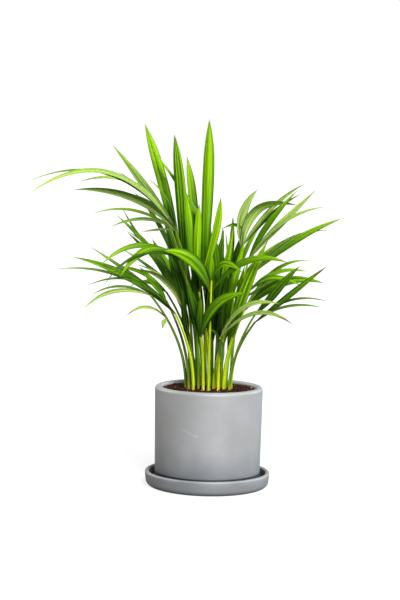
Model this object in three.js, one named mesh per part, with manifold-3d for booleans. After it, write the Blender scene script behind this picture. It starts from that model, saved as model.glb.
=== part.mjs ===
// A young areca-type palm in a ceramic pot that stands on its saucer. Millimetres, +Z up.
// The origin is the centre of the saucer's flat underside, on the table.
import * as THREE from 'three';
import { mergeVertices } from 'three/addons/utils/BufferGeometryUtils.js';
import Module from 'manifold-3d';

const wasm = await Module();
wasm.setup();

// Pot
const POT_RIM_RADIUS = 72.5;
const POT_BASE_RADIUS = 70.5;
const POT_HEIGHT = 127.5;
const POT_WALL = 9;
const POT_FLOOR = 10;
const POT_EDGE_ROUNDING = 3;
const RIM_ROUNDING_SHARE = 0.45; // of the wall, on each edge of a rim, for both pot and saucer
const DRAIN_HOLE_RADIUS = 7;

// Saucer
const SAUCER_MOAT = 8; // from the pot's foot to the inside of the saucer's wall
const SAUCER_HEIGHT = 20;
const SAUCER_WALL = 6;
const SAUCER_FLOOR = 7;
const SAUCER_FOOT_INSET = 2.5; // from the saucer's rim to its foot
const SAUCER_FOOT_ROUNDING = 7;

// Soil
const SOIL_BELOW_RIM = 4.3; // at its edge
const SOIL_DOME = 1.5;

// Plant
const FOLIAGE_HEIGHT = 359.5; // from the soil's edge to the highest tip
const FOLIAGE_REACH = 250; // from the middle to the tip that reaches furthest out
const FEET_REACH = 31; // from the middle to the outermost stalk
const LEAFLET_WIDTH = 10; // the usual leaflet; the widths in FRONDS are for this value
const LEAFLET_THICKNESS = 1.2;
const STALK_RADIUS = 2.2;
const STALK_END_SHARE = 0.6; // a stalk's radius at its end, as a share of the radius at its foot
const PLANTED_DEPTH = 14;
const SHOOT_HEIGHT = 9;
const SHOOT_TIP_SHARE = 0.25; // of the stalk's radius

// Fits and fineness
const CLEARANCE = 0.3; // between pieces that rest on or stand in each other
const ROUND_SIDES = 48;
const STALK_SIDES = 6;
const STALK_STEPS = 8;
const LEAFLET_STEPS = 6;
const HOLE_SIDES = 8;
const DRAIN_HOLE_SIDES = 20;
const ROUNDING_STEPS = 3;
const LEAFLET_FOLD = 0.25; // how far an edge drops below the midrib, as a share of the half width
const LEAFLET_BASE_SHARE = 0.3; // a leaflet's width where it leaves the stalk, as a share of its width
const WIDEST_AT = 0.45; // along a leaflet, unless its row says otherwise
const TIP_FULLNESS = 4; // how convex a leaflet's sides are on the way to its tip
const TIP_THINNING = 0.6; // how much of its thickness a leaflet loses on the way to its tip

const POT_BOTTOM = SAUCER_FLOOR + CLEARANCE;
const POT_TOP = POT_BOTTOM + POT_HEIGHT;
const SOIL_TOP = POT_TOP - SOIL_BELOW_RIM;
const STALK_BEND = SOIL_TOP + SOIL_DOME + CLEARANCE; // a stalk is upright up to here

// The fronds, as they were drawn for a plant 359.5 mm high that reaches 250 mm out:
// foot [x, y] on the soil, stalk end [x, y, z], then one row for each leaflet:
// [place along the stalk, tip x, tip y, tip z, width, lift of its middle, face, widest at].
// Face 0 turns the upper side to the front (-Y), 90 turns it up, 180 turns the underside to the front.
const DRAWN_HEIGHT = 359.5;
const DRAWN_REACH = 250;
const DRAWN_FEET_REACH = 31;
const DRAWN_SOIL_TOP = 130.5;
const DRAWN_LEAFLET_WIDTH = 10;

const FRONDS = {
  frond_left_low: [[-31, -7], [-78, -66, 260], [
    [1, -163, -100, 244, 8, 16, 50],
    [1, -155, -84, 260, 6, 13, 60],
    [0.75, -110, -74, 233, 5, 14, 40],
    [0.75, -63, -52, 216, 7, 4, 30]]],
  frond_left_thin: [[-27, -15.5], [-59, -28, 251], [
    [1, -160, -54, 322, 6, 2, 35],
    [1, -94, -38, 295, 9, 2, 20]]],
  frond_left_long: [[-21, -20], [-46, -36, 234], [
    [1, -179, -80, 309, 11, 13, 30],
    [1, -204, -58, 291, 6, 22, 50],
    [1, -159, -108, 274, 5, 26, 55],
    [0.6, -38, -40, 268, 9, 3, 25]]],
  frond_left_drooping: [[-14, -14], [-40, -38, 305], [
    [1, -143, -92, 299, 9, 24, 40],
    [1, -117, -102, 286, 12, 26, 30],
    [1, -136, -122, 276, 5, 25, 50],
    [0.45, -30, -34, 270, 10, 2, 20]]],
  frond_front_low: [[-8, -22], [-13, -40, 204], [
    [1, 46, -68, 266, 17, 18, 30],
    [1, -31, -56, 276, 13, 3, 20],
    [1, -14, -60, 262, 10, -2, 20]]],
  frond_front_stub: [[-1, -27], [-1, -36, 213], []],
  frond_front_broad: [[-1, -19], [0, -36, 279], [
    [0.9, -62, -70, 319, 20, 17, 35],
    [1, -1, -42, 313, 10, 1, 10],
    [1, 40, -60, 291, 10, 19, 40],
    [0.9, 97, -92, 308, 11, 22, 40]]],
  frond_right_arching: [[12, -21], [13, -40, 204], [
    [1, 89, -84, 254, 9, 21, 45],
    [1, 105, -108, 230, 8, 25, 50],
    [1, 17, -52, 170, 9, 2, 20],
    [1, 1, -52, 216, 4, 1, 40]]],
  frond_right_dark: [[29, -8], [59, -34, 236], [
    [1, 113, -76, 303, 12, 2, 30]]],
  frond_right_amber_tip: [[27, -16], [58, -52, 227], [
    [1, 146, -108, 306, 9, 1, 35],
    [1, 152, -82, 258, 4, 16, 40],
    [1, 141, -122, 254, 5, 12, 50]]],
  frond_right_low_broad: [[22, -7], [45, -14, 239], [
    [1, 148, -26, 278, 14, 19, 30],
    [1, 130, -4, 281, 6, 20, 50],
    [0.6, 44, -20, 300, 10, 2, 20]]],
  frond_right_bright: [[6, -14], [49, -28, 264], [
    [1, 118, -56, 275, 8, 16, 35],
    [1, 128, -34, 293, 8, 14, 45],
    [0.95, 74, -46, 278, 4, 0, 30],
    [0.5, 16, -26, 268, 10, 1, 20]]],
  frond_right_upright: [[19, -15], [29, -36, 204], [
    [1, 72, -60, 334, 16, 8, 25],
    [0.7, 30, -40, 262, 9, 1, 15]]],
  frond_right_fan: [[16, 1], [40, 6, 322], [
    [1, 60, 12, 399, 14, 12, 150],
    [1, 112, -16, 379, 16, 30, 140],
    [1, 124, 22, 408, 10, 10, 130],
    [1, 121, 44, 394, 9, 8, 60],
    [1, 13, 20, 344, 7, 20, 130],
    [0.5, 43, -6, 330, 11, 2, 10],
    [0.3, 30, -2, 280, 10, 1, 10]]],
  frond_right_pair: [[29, 1], [49, -6, 306], [
    [1, 110, -30, 399, 10, 7, 35],
    [1, 133, -52, 401, 10, 3, 30],
    [1, 145, -74, 380, 7, 16, 50]]],
  frond_right_long: [[23, 5], [60, 14, 290], [
    [1, 174, 2, 363, 11, 9, 35],
    [1, 160, 34, 345, 7, 17, 45]]],
  frond_crossing: [[9, 4], [24, 16, 290], [
    [1, -88, 30, 456, 8, 6, 40],
    [1, 28, 44, 362, 9, 3, 40],
    [0.5, 20, 4, 310, 12, 1, 10]]],
  frond_tallest: [[1, 1], [-9, 8, 262], [
    [1, -7, 12, 490, 16, 0, 5, 0.65],
    [0.8, 6, -2, 330, 12, 1, 15],
    [0.5, -3, -5, 300, 11, 1, 10]]],
  frond_dark_upright: [[-7, 3.5], [-31, 8, 250], [
    [1, -53, 14, 469, 15, 2, 10, 0.65],
    [0.9, -66, 12, 356, 13, 3, 15],
    [0.5, -22, 9, 310, 12, 1, 10]]],
  frond_left_pale: [[-21, -8], [-38, -20, 242], [
    [1, -102, -74, 294, 8, 15, 150],
    [1, -89, -26, 317, 13, 8, 20],
    [1, -99, -50, 299, 5, 12, 50],
    [0.85, -60, -24, 322, 13, 4, 15]]],
  frond_left_fan: [[-25, 1], [-50, -8, 280], [
    [1, -127, -34, 363, 8, 4, 35],
    [1, -113, -16, 340, 7, 2, 30],
    [1, -121, -10, 373, 5, -4, 40],
    [0.9, -121, -22, 319, 5, 2, 40],
    [0.7, -80, 2, 330, 14, 5, 15],
    [0.4, -44, -6, 262, 9, 3, 20]]],
  frond_left_striped: [[-14, -5], [-48, -26, 343], [
    [1, -180, -72, 395, 11, 20, 150],
    [1, -133, -56, 347, 6, 14, 40],
    [1, -161, -24, 362, 6, 17, 50],
    [1, -93, -40, 341, 4, 3, 40]]],
  frond_far_left: [[-16, 3], [-62, -16, 362], [
    [1, -242, -40, 387, 9, 46, 50],
    [1, -250, -8, 401, 7, 38, 60],
    [1, -181, 12, 403, 8, 27, 50],
    [1, -107, -26, 390, 5, 4, 40],
    [0.35, -37, 4, 286, 9, 1, 10]]],
  frond_left_pointed: [[-22, 10], [-50, 26, 345], [
    [1, -136, 40, 453, 12, 2, 30],
    [1, -132, 62, 419, 4, 8, 40],
    [1, -90, 22, 411, 4, 10, 40]]],
  frond_top_left: [[-13, 12], [-40, 32, 280], [
    [1, -94, 54, 483, 15, 6, 10, 0.65],
    [0.9, -110, 84, 392, 8, 12, 40],
    [0.8, -62, 40, 352, 14, 3, 15]]],
  frond_pale_upright: [[-5, 9], [-16, 32, 285], [
    [1, -36, 48, 440, 12, 3, 15, 0.65],
    [1, -48, 66, 418, 13, 2, 20]]],
  frond_lime_pair: [[-7.5, -10], [-21, -14, 258], [
    [1, -36, -20, 392, 12, 2, 10, 0.65],
    [1, -18, -28, 379, 10, 0, 10, 0.65],
    [0.5, -26, -24, 306, 10, 2, 10]]],
  frond_lime_lobed: [[0, -8], [-16, -20, 262], [
    [1, 10, -36, 388, 10, -4, 15, 0.65],
    [0.5, 2, -22, 300, 11, 1, 15]]],
  frond_inner_right: [[8, -5], [12, -6, 240], [
    [1, 1, -12, 352, 10, 0, 15],
    [1, 14, 4, 350, 8, 0, 20],
    [1, 28, -14, 350, 10, 1, 15],
    [0.5, 22, -14, 296, 12, 1, 15]]],
  frond_back_left: [[-9, 20], [-30, 54, 262], [
    [0.9, -56, 66, 336, 14, 3, 10],
    [1, -120, 118, 335, 11, 10, 60],
    [1, -84, 150, 372, 11, 14, 60],
    [1, -54, 105, 430, 10, 8, 40],
    [0.5, -26, 34, 290, 13, 1, 10]]],
  frond_back_middle: [[4, 11], [2, 40, 250], [
    [0.9, 16, 50, 342, 14, 2, 10],
    [0.9, -24, 58, 350, 14, 2, 10],
    [1, -14, 96, 420, 11, 6, 30],
    [1, -30, 140, 372, 10, 14, 60],
    [0.5, 4, 28, 290, 13, 1, 10]]],
  frond_back_right: [[13, 11], [26, 44, 255], [
    [0.9, 40, 60, 335, 14, 2, 10],
    [1, 118, 96, 335, 11, 12, 60],
    [1, 82, 140, 362, 11, 16, 60],
    [1, 20, 150, 335, 10, 16, 80],
    [0.5, 30, 30, 280, 13, 1, 10]]],
  frond_back_low_right: [[21, 14], [62, 50, 262], [
    [1, 140, 88, 300, 9, 14, 60],
    [1, 118, 112, 262, 9, 16, 60]]],
  frond_back_low_left: [[-18, 18], [-60, 48, 255], [
    [1, -150, 84, 282, 9, 16, 60],
    [1, -120, 116, 250, 9, 16, 60]]],
  frond_back_low: [[1, 20], [0, 64, 240], [
    [0.9, -14, 84, 322, 14, 2, 10],
    [1, -40, 140, 300, 11, 14, 60],
    [1, 44, 138, 290, 11, 14, 60]]],
};

// The new shoots: foot [x, y] on the soil.
const SHOOTS = { shoot_left: [-7, -31], shoot_right: [11, -30] };

// From the drawn plant to this plant.
const reachScale = FOLIAGE_REACH / DRAWN_REACH;
const heightScale = FOLIAGE_HEIGHT / DRAWN_HEIGHT;
const feetScale = FEET_REACH / DRAWN_FEET_REACH;

function placePoint([x, y, z]) {
  const height = SOIL_TOP + (z - DRAWN_SOIL_TOP) * heightScale;
  return new THREE.Vector3(x * reachScale, y * reachScale, height);
}

function placeFoot([x, y], height) {
  return new THREE.Vector3(x * feetScale, y * feetScale, height);
}

// A three.js geometry as a manifold solid, and a solid back as a geometry.
function solidOf(geometry) {
  const bare = geometry.clone();
  bare.deleteAttribute('normal');
  bare.deleteAttribute('uv');
  const merged = mergeVertices(bare, 1e-4);
  return new wasm.Manifold(new wasm.Mesh({
    numProp: 3,
    vertProperties: new Float32Array(merged.attributes.position.array),
    triVerts: new Uint32Array(merged.index.array),
  }));
}

function geometryOf(solid) {
  const mesh = solid.getMesh();
  const geometry = new THREE.BufferGeometry();
  geometry.setAttribute('position', new THREE.BufferAttribute(mesh.vertProperties, 3));
  geometry.setIndex(new THREE.BufferAttribute(mesh.triVerts, 1));
  geometry.computeVertexNormals();
  return geometry;
}

function union(solids) {
  return solids.reduce((whole, next) => whole.add(next));
}

// Leaflets that cross can shut in a small pocket of air, which is filled: its shell is left out.
function withoutPockets(solid) {
  return union(solid.decompose().filter((shell) => shell.volume() > 0));
}

// A closed body of revolution about Z from [radius, height] corners, each with its own rounding.
// The outline runs from the axis at the bottom, outwards and up, and back to the axis at the top.
function turned(corners) {
  const outline = [];
  corners.forEach(([x, y, rounding = 0], i) => {
    const here = new THREE.Vector2(x, y);
    if (rounding === 0) {
      outline.push(here);
      return;
    }
    const before = new THREE.Vector2(...corners[i - 1]);
    const after = new THREE.Vector2(...corners[i + 1]);
    const start = here.clone().add(before.sub(here).setLength(rounding));
    const end = here.clone().add(after.sub(here).setLength(rounding));
    outline.push(...new THREE.QuadraticBezierCurve(start, here, end).getPoints(ROUNDING_STEPS));
  });
  return new THREE.LatheGeometry(outline, ROUND_SIDES).rotateX(Math.PI / 2);
}

function saucerGeometry() {
  const innerRadius = POT_BASE_RADIUS + SAUCER_MOAT;
  const outerRadius = innerRadius + SAUCER_WALL;
  const rimRounding = SAUCER_WALL * RIM_ROUNDING_SHARE;
  return turned([
    [0, 0],
    [outerRadius - SAUCER_FOOT_INSET, 0, SAUCER_FOOT_ROUNDING],
    [outerRadius, SAUCER_HEIGHT, rimRounding],
    [innerRadius, SAUCER_HEIGHT, rimRounding],
    [innerRadius, SAUCER_FLOOR],
    [0, SAUCER_FLOOR],
  ]);
}

function potGeometry() {
  const innerRadius = POT_RIM_RADIUS - POT_WALL;
  const rimRounding = POT_WALL * RIM_ROUNDING_SHARE;
  const body = turned([
    [0, POT_BOTTOM],
    [POT_BASE_RADIUS, POT_BOTTOM, POT_EDGE_ROUNDING],
    [POT_RIM_RADIUS, POT_TOP, rimRounding],
    [innerRadius, POT_TOP, rimRounding],
    [innerRadius, POT_BOTTOM + POT_FLOOR],
    [0, POT_BOTTOM + POT_FLOOR],
  ]);
  const drillHeight = POT_FLOOR * 3;
  const drill = new THREE.CylinderGeometry(
    DRAIN_HOLE_RADIUS, DRAIN_HOLE_RADIUS, drillHeight, DRAIN_HOLE_SIDES);
  drill.rotateX(Math.PI / 2).translate(0, 0, POT_BOTTOM + POT_FLOOR / 2);
  return geometryOf(solidOf(body).subtract(solidOf(drill)));
}

// Soil: a low dome, with a hole for each stalk and shoot.
function soilGeometry(feet) {
  const radius = POT_RIM_RADIUS - POT_WALL - CLEARANCE;
  const bottom = POT_BOTTOM + POT_FLOOR + CLEARANCE;
  const body = turned([
    [0, bottom],
    [radius, bottom],
    [radius, SOIL_TOP],
    [FEET_REACH, SOIL_TOP + SOIL_DOME],
    [0, SOIL_TOP + SOIL_DOME],
  ]);
  const holeRadius = (STALK_RADIUS + CLEARANCE) / Math.cos(Math.PI / HOLE_SIDES);
  const holeDepth = PLANTED_DEPTH + CLEARANCE;
  const drillHeight = holeDepth * 2;
  const holes = feet.map((foot) => {
    const hole = new THREE.CylinderGeometry(holeRadius, holeRadius, drillHeight, HOLE_SIDES);
    hole.rotateX(Math.PI / 2).translate(foot.x, foot.y, SOIL_TOP - holeDepth + drillHeight / 2);
    return solidOf(hole);
  });
  return geometryOf(solidOf(body).subtract(union(holes)));
}

// Carries a cylinder or cone, rows of points about +Y, onto the stations of a curve.
// Each station has a point, a side and a normal direction, and the half sizes along both.
function bend(geometry, rows, stations) {
  const position = geometry.attributes.position;
  for (let i = 0; i < position.count; i += 1) {
    const row = Math.round((position.getY(i) + 0.5) * rows);
    const station = stations[row];
    const side = position.getX(i);
    const rise = position.getZ(i);
    const point = station.point.clone();
    point.addScaledVector(station.side, side * station.halfWidth);
    point.addScaledVector(station.normal, rise * station.halfHeight - Math.abs(side) * station.drop);
    position.setXYZ(i, point.x, point.y, point.z);
  }
  return geometry;
}

// The direction square to a chord that points most nearly up.
function upFrom(chord) {
  const up = new THREE.Vector3(0, 0, 1);
  return up.addScaledVector(chord, -up.dot(chord)).normalize();
}

// A stalk: upright where it stands in the soil, then an even bend out to its end.
function stalk(foot, end) {
  const start = foot.clone().setZ(STALK_BEND);
  const control = start.clone().lerp(end, 0.5).setX(start.x).setY(start.y);
  const curve = new THREE.QuadraticBezierCurve3(start, control, end);
  const stations = [];
  for (let row = 0; row <= STALK_STEPS; row += 1) {
    const t = Math.max(0, (row - 1) / (STALK_STEPS - 1));
    const tangent = curve.getTangent(t);
    const side = new THREE.Vector3(0, 1, 0).cross(tangent).normalize();
    const normal = side.clone().cross(tangent);
    const point = row === 0 ? foot.clone().setZ(SOIL_TOP - PLANTED_DEPTH) : curve.getPoint(t);
    const radius = STALK_RADIUS * THREE.MathUtils.lerp(1, STALK_END_SHARE, t);
    stations.push({ point, side, normal, halfWidth: radius, halfHeight: radius, drop: 0 });
  }
  const tube = new THREE.CylinderGeometry(1, 1, 1, STALK_SIDES, STALK_STEPS);
  return { curve, solid: solidOf(bend(tube, STALK_STEPS, stations)) };
}

// How wide a leaflet is at t along it, as a share of its full width: narrow where it leaves the
// stalk, widest at or past its middle, and drawn out to a point.
function leafletShape(t, widestAt) {
  const opening = Math.sin(Math.min(1, t / widestAt) * Math.PI / 2);
  const closing = 1 - Math.max(0, (t - widestAt) / (1 - widestAt)) ** (TIP_FULLNESS * widestAt);
  return (LEAFLET_BASE_SHARE + (1 - LEAFLET_BASE_SHARE) * opening) * closing;
}

// A leaflet: a thin folded blade from the stalk to its tip, its middle lifted off the chord.
function leaflet(base, tip, width, lift, faceDegrees, widestAt = WIDEST_AT) {
  const chord = tip.clone().sub(base).normalize();
  const middle = base.clone().lerp(tip, 0.5);
  const control = middle.addScaledVector(upFrom(chord), lift * 2);
  const curve = new THREE.QuadraticBezierCurve3(base, control, tip);
  const toFront = new THREE.Vector3(0, -1, 0);
  toFront.addScaledVector(chord, -toFront.dot(chord)).normalize();
  const across = new THREE.Vector3().crossVectors(toFront, chord);
  if (across.z < 0) across.negate();
  const face = THREE.MathUtils.degToRad(faceDegrees);
  const facing = toFront.multiplyScalar(Math.cos(face)).addScaledVector(across, Math.sin(face));
  const stations = [];
  for (let row = 0; row <= LEAFLET_STEPS; row += 1) {
    const t = row / LEAFLET_STEPS;
    const tangent = curve.getTangent(t);
    const normal = facing.clone().addScaledVector(tangent, -facing.dot(tangent)).normalize();
    const side = tangent.clone().cross(normal);
    const shrink = row === LEAFLET_STEPS ? 0 : 1 / (1 - t);
    const halfWidth = leafletShape(t, widestAt) * shrink * width / 2;
    const halfHeight = (LEAFLET_THICKNESS / 2) * (1 - t * TIP_THINNING) * shrink;
    stations.push({
      point: curve.getPoint(t), side, normal, halfWidth, halfHeight, drop: halfWidth * LEAFLET_FOLD,
    });
  }
  const spike = new THREE.ConeGeometry(1, 1, 4, LEAFLET_STEPS);
  return solidOf(bend(spike, LEAFLET_STEPS, stations));
}

function frondGeometry([foot, end, rows]) {
  const { curve, solid } = stalk(placeFoot(foot, 0), placePoint(end));
  const widthScale = LEAFLET_WIDTH / DRAWN_LEAFLET_WIDTH;
  const leaflets = rows.map(([along, x, y, z, width, lift, ...facing]) => (
    leaflet(curve.getPoint(along), placePoint([x, y, z]), width * widthScale, lift * heightScale, ...facing)
  ));
  return geometryOf(withoutPockets(union([solid, ...leaflets])));
}

// A shoot: a short pointed spike in its own hole in the soil.
function shootGeometry(foot) {
  const height = PLANTED_DEPTH + SHOOT_HEIGHT;
  const tipRadius = STALK_RADIUS * SHOOT_TIP_SHARE;
  const spike = new THREE.CylinderGeometry(tipRadius, STALK_RADIUS, height, STALK_SIDES, 1);
  const middle = SOIL_TOP - PLANTED_DEPTH + height / 2;
  return spike.rotateX(Math.PI / 2).translate(foot.x, foot.y, middle);
}

const CERAMIC = { color: 0x8f908f, roughness: 0.75, metalness: 0 };
const SOIL = { color: 0x35201a, roughness: 1, metalness: 0 };
const LEAF = { color: 0x5f9a1c, roughness: 0.5, metalness: 0 };
const SHOOT = { color: 0xe09a20, roughness: 0.6, metalness: 0 };

const plant = new THREE.Group();

function add(name, geometry, look) {
  const mesh = new THREE.Mesh(geometry, new THREE.MeshStandardMaterial(look));
  mesh.name = name;
  plant.add(mesh);
}

const frondFeet = Object.values(FRONDS).map(([foot]) => placeFoot(foot, 0));
const shootFeet = Object.values(SHOOTS).map((foot) => placeFoot(foot, 0));

add('saucer', saucerGeometry(), CERAMIC);
add('pot', potGeometry(), CERAMIC);
add('soil', soilGeometry([...frondFeet, ...shootFeet]), SOIL);
for (const [name, frond] of Object.entries(FRONDS)) {
  add(name, frondGeometry(frond), LEAF);
}
for (const [name, foot] of Object.entries(SHOOTS)) {
  add(name, shootGeometry(placeFoot(foot, 0)), SHOOT);
}

export default plant;
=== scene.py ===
# %% [markdown]
# # A potted palm
# A young areca-type palm stands in a matt ceramic pot on its saucer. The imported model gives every
# piece its size and place. This lesson makes the pieces that are seen: a turned pot and saucer,
# crumbly soil, and fronds whose thin pleated leaflets arch out from upright stalks.
# Everything is in metres, with +Z up and the front of the plant towards -Y.

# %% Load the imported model
import math
import random

import bmesh
import bpy
from mathutils import Matrix, Vector


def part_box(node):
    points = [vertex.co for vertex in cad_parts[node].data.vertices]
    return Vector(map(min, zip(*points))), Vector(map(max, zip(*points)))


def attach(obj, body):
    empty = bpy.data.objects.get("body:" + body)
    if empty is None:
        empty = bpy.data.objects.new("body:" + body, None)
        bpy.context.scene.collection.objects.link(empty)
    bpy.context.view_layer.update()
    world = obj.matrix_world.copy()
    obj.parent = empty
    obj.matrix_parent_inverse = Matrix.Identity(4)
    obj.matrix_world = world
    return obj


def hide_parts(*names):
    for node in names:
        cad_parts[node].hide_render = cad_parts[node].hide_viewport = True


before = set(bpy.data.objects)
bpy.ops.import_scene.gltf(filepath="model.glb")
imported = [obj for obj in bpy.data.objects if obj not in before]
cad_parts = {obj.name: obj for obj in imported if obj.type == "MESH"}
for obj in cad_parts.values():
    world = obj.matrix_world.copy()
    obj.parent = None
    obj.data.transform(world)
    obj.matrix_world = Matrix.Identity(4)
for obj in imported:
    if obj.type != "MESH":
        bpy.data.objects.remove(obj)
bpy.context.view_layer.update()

MM = 0.001

# %% [markdown]
# Every piece is made in the same few steps: add a primitive, go into edit mode, select some of it
# by place, and use an operator on the selection. An operator acts on all that is selected, so
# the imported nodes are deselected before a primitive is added. These helpers keep the steps short.

# %% Helpers for modelling
def begin(name, add_primitive, **options):
    """Adds a primitive as a new piece and opens it in edit mode."""
    bpy.ops.object.select_all(action="DESELECT")
    add_primitive(**options)
    piece = bpy.context.object
    piece.name = piece.data.name = name
    bpy.ops.object.mode_set(mode="EDIT")
    return piece


def pick(piece, kind, test):
    """In edit mode, selects only the verts, edges or faces that pass the test."""
    kinds = ("verts", "edges", "faces")
    bpy.context.tool_settings.mesh_select_mode = [kind == k for k in kinds]
    bpy.ops.mesh.select_all(action="DESELECT")
    mesh = bmesh.from_edit_mesh(piece.data)
    found = [part for part in getattr(mesh, kind) if test(part)]
    for part in found:
        part.select_set(True)
    mesh.select_flush_mode()
    bmesh.update_edit_mesh(piece.data)
    return len(found)


def middle(part):
    """The middle of an edge or face."""
    return sum((v.co for v in part.verts), Vector()) / len(part.verts)


def extrude(x=0, y=0, z=0):
    bpy.ops.mesh.extrude_region_move(TRANSFORM_OT_translate={"value": (x, y, z)})


def finish_piece(piece, smooth_angle):
    """Closes edit mode, puts the piece's place into its mesh, and smooths its shading."""
    bpy.ops.object.mode_set(mode="OBJECT")
    bpy.ops.object.select_all(action="DESELECT")
    piece.select_set(True)
    bpy.context.view_layer.objects.active = piece
    bpy.ops.object.transform_apply(location=True, rotation=True, scale=True)
    bpy.ops.object.shade_smooth_by_angle(angle=math.radians(smooth_angle))


def apply_modifiers(piece):
    bpy.context.view_layer.objects.active = piece
    for modifier in list(piece.modifiers):
        bpy.ops.object.modifier_apply(modifier=modifier.name)


def hand_over(piece, slot, *nodes):
    """The piece rides on the object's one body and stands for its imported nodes."""
    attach(piece, "root")
    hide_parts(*nodes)
    print(piece.name, "stands for", ", ".join(nodes), "with", len(piece.data.polygons), "faces")


# %% [markdown]
# ## The pot
# The real pot is slip-cast: one shell with an even wall, a soft rim and a drain hole. The model
# starts as a cylinder: its foot is drawn in a little, its top is inset and pushed down to hollow
# it, and the hole is bridged through the floor. The rim and foot are bevelled last.

# %% Pot shape
ROUND_SIDES = 128
pot_low, pot_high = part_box("pot")
POT_RADIUS = pot_high.x
POT_BASE_RADIUS = 70.5 * MM
POT_WALL = 9 * MM
POT_FLOOR = 10 * MM
DRAIN_HOLE_RADIUS = 7 * MM
TINY = 0.01 * MM


def level(part, z):
    """True for a vertex, edge or face that lies flat at height z."""
    verts = getattr(part, "verts", [part])
    return all(abs(v.co.z - z) < TINY for v in verts)


def ring(edge, z, radius):
    """True for an edge of the circle of that radius at height z."""
    return level(edge, z) and all(abs(v.co.to_2d().length - radius) < TINY for v in edge.verts)


def turned_shell(name, low, high, radius, base_radius, wall, floor_top):
    """An open shell: a cylinder with a drawn-in foot, hollowed down to the top of its floor.
    The mesh is moved to its real height at once, so that picks can use real heights."""
    height = high.z - low.z
    shell = begin(name, bpy.ops.mesh.primitive_cylinder_add,
                  vertices=ROUND_SIDES, radius=radius, depth=height)
    bpy.ops.transform.translate(value=(0, 0, low.z + height / 2))
    pick(shell, "faces", lambda f: level(f, low.z))
    foot = base_radius / radius
    bpy.ops.transform.resize(value=(foot, foot, 1), center_override=(0, 0, low.z))
    pick(shell, "faces", lambda f: level(f, high.z))
    bpy.ops.mesh.inset(thickness=wall)
    extrude(z=floor_top - high.z)
    return shell


pot = turned_shell("pot_turned", pot_low, pot_high, POT_RADIUS, POT_BASE_RADIUS,
                   POT_WALL, pot_low.z + POT_FLOOR)
pot_floor_top = pot_low.z + POT_FLOOR
pick(pot, "faces", lambda f: level(f, pot_floor_top))
bpy.ops.mesh.inset(thickness=POT_RADIUS - POT_WALL - DRAIN_HOLE_RADIUS)
pick(pot, "faces", lambda f: level(f, pot_low.z))
bpy.ops.mesh.inset(thickness=POT_BASE_RADIUS - DRAIN_HOLE_RADIUS)
hole_ends = pick(pot, "faces", lambda f: len(f.verts) == ROUND_SIDES)
bpy.ops.mesh.bridge_edge_loops()
print("pot hollowed; ends of the drain hole bridged:", hole_ends)

# %% Pot edges
RIM_OUTER_ROUNDING = 4.5 * MM
RIM_INNER_ROUNDING = 3 * MM
FOOT_ROUNDING = 3 * MM


def round_ring(piece, z, radius, rounding, segments=5):
    """Rounds one circle of edges."""
    count = pick(piece, "edges", lambda e: ring(e, z, radius))
    bpy.ops.mesh.bevel(offset=rounding, segments=segments, profile=0.5, affect="EDGES")
    return count


pot_edges = ((pot_high.z, POT_RADIUS, RIM_OUTER_ROUNDING),
             (pot_high.z, POT_RADIUS - POT_WALL, RIM_INNER_ROUNDING),
             (pot_low.z, POT_BASE_RADIUS, FOOT_ROUNDING))
rounded = sum(round_ring(pot, *edge) for edge in pot_edges)
finish_piece(pot, smooth_angle=40)
print("pot edges rounded:", rounded)

# %% [markdown]
# ## The saucer
# The saucer is cast in the same clay and takes the same steps, with a wide rounding where its
# wall turns under.

# %% Saucer
saucer_low, saucer_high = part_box("saucer")
SAUCER_RADIUS = saucer_high.x
SAUCER_FOOT_RADIUS = 82 * MM
SAUCER_WALL = 6 * MM
SAUCER_FLOOR = 7 * MM
SAUCER_FOOT_ROUNDING = 7 * MM
SAUCER_RIM_ROUNDING = 2.4 * MM
SAUCER_COVE = 2.5 * MM

saucer = turned_shell("saucer_turned", saucer_low, saucer_high, SAUCER_RADIUS,
                      SAUCER_FOOT_RADIUS, SAUCER_WALL, SAUCER_FLOOR)
SAUCER_INSIDE = SAUCER_RADIUS - SAUCER_WALL
saucer_edges = ((saucer_high.z, SAUCER_RADIUS, SAUCER_RIM_ROUNDING, 4),
                (saucer_high.z, SAUCER_INSIDE, SAUCER_RIM_ROUNDING, 4),
                (SAUCER_FLOOR, SAUCER_INSIDE, SAUCER_COVE, 3),
                (saucer_low.z, SAUCER_FOOT_RADIUS, SAUCER_FOOT_ROUNDING, 8))
rounded = sum(round_ring(saucer, *edge) for edge in saucer_edges)
finish_piece(saucer, smooth_angle=40)
print("saucer edges rounded:", rounded)

# %% [markdown]
# ## The soil
# Potting soil is a loose crumbly mass, a little higher in the middle. A cylinder's top is inset
# in rings until it is fine enough to shape, and two Displace modifiers push it up and down: one
# for the lumps, one for the crumbs. Loose crumbs, a few of them pale, are then scattered on it.

# %% Soil bed
soil_low, soil_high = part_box("soil")
SOIL_RADIUS = soil_high.x
SOIL_EDGE = 130.5 * MM
SOIL_SIDES = 96
SOIL_RINGS = 24
SOIL_DOME = 2.2 * MM
LUMPS = (("lumps", 11 * MM, 2.2 * MM), ("crumb_grain", 3.2 * MM, 2.0 * MM))

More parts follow.
